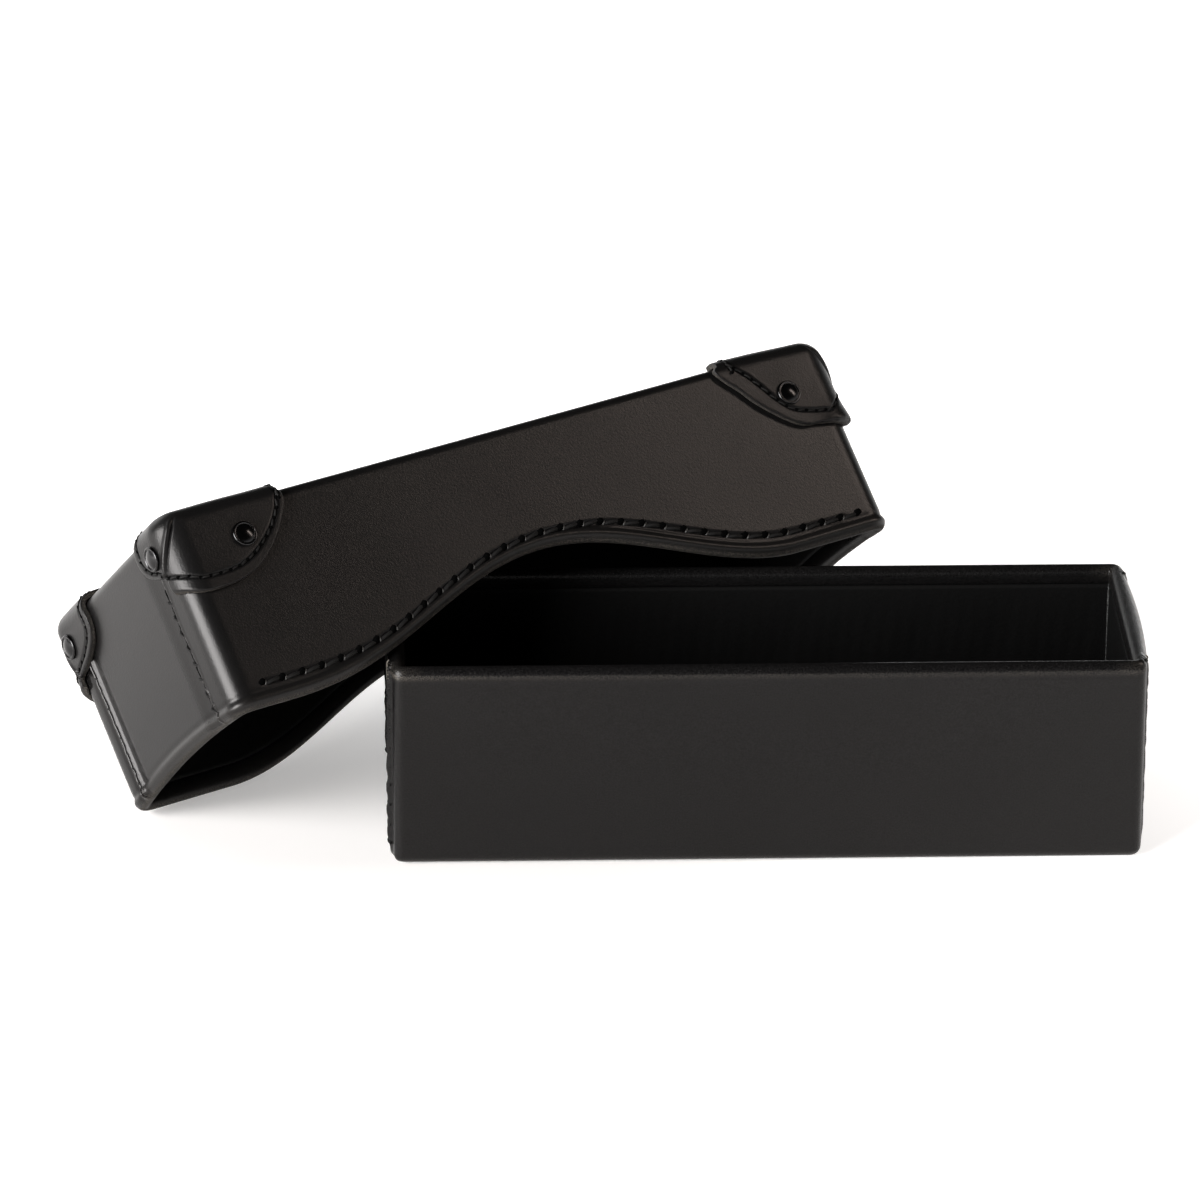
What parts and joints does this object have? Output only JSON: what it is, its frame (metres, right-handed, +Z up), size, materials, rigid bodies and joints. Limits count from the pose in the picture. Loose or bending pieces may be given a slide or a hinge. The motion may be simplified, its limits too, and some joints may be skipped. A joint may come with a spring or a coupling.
{
  "type": "eyeglass case",
  "caption": "Two-part leather box case for spectacles: an open tray, and its deep lid taken off and leaning over it, with thumb notches and riveted, sewn corner guards",
  "frame": {"origin": "Middle of the tray's flat base, on the surface that the tray stands on.", "axes": "+X along the tray's length to the right, +Y across its width away from the viewer, +Z up; the lid leans over the tray's -X end."},
  "size_m": [0.2428, 0.1576, 0.0865],
  "materials": {
    "leather": "smooth fine-grained black leather, satin",
    "lining": "dark matt lining leather",
    "thread": "black waxed thread",
    "rivet": "glossy black nickel"
  },
  "bodies": {
    "tray": {"tray_leather": "leather", "tray_lining": "lining", "tray_seam_thread_near_left": "thread", "tray_seam_thread_near_right": "thread", "tray_seam_thread_far_left": "thread", "tray_seam_thread_far_right": "thread"},
    "lid": {"lid_leather": "leather", "lid_lining": "lining", "lid_seam_thread_near_left": "thread", "lid_seam_thread_near_right": "thread", "lid_seam_thread_far_left": "thread", "lid_seam_thread_far_right": "thread", "lid_edge_thread_near": "thread", "lid_edge_thread_far": "thread", "corner_guard_near_left": "leather", "corner_guard_near_right": "leather", "corner_guard_far_left": "leather", "corner_guard_far_right": "leather", "guard_thread_near_left": "thread", "guard_thread_near_right": "thread", "guard_thread_far_left": "thread", "guard_thread_far_right": "thread", "rivet_near_left_wall": "rivet", "rivet_near_left_end": "rivet", "rivet_near_right_wall": "rivet", "rivet_near_right_end": "rivet", "rivet_far_left_wall": "rivet", "rivet_far_left_end": "rivet", "rivet_far_right_wall": "rivet", "rivet_far_right_end": "rivet"}
  },
  "joints": [
    {"name": "lid_lift", "type": "slide", "parent": "tray", "child": "lid", "axis": [0, 0, 1], "range_m": [0, 0.08]}
  ]
}
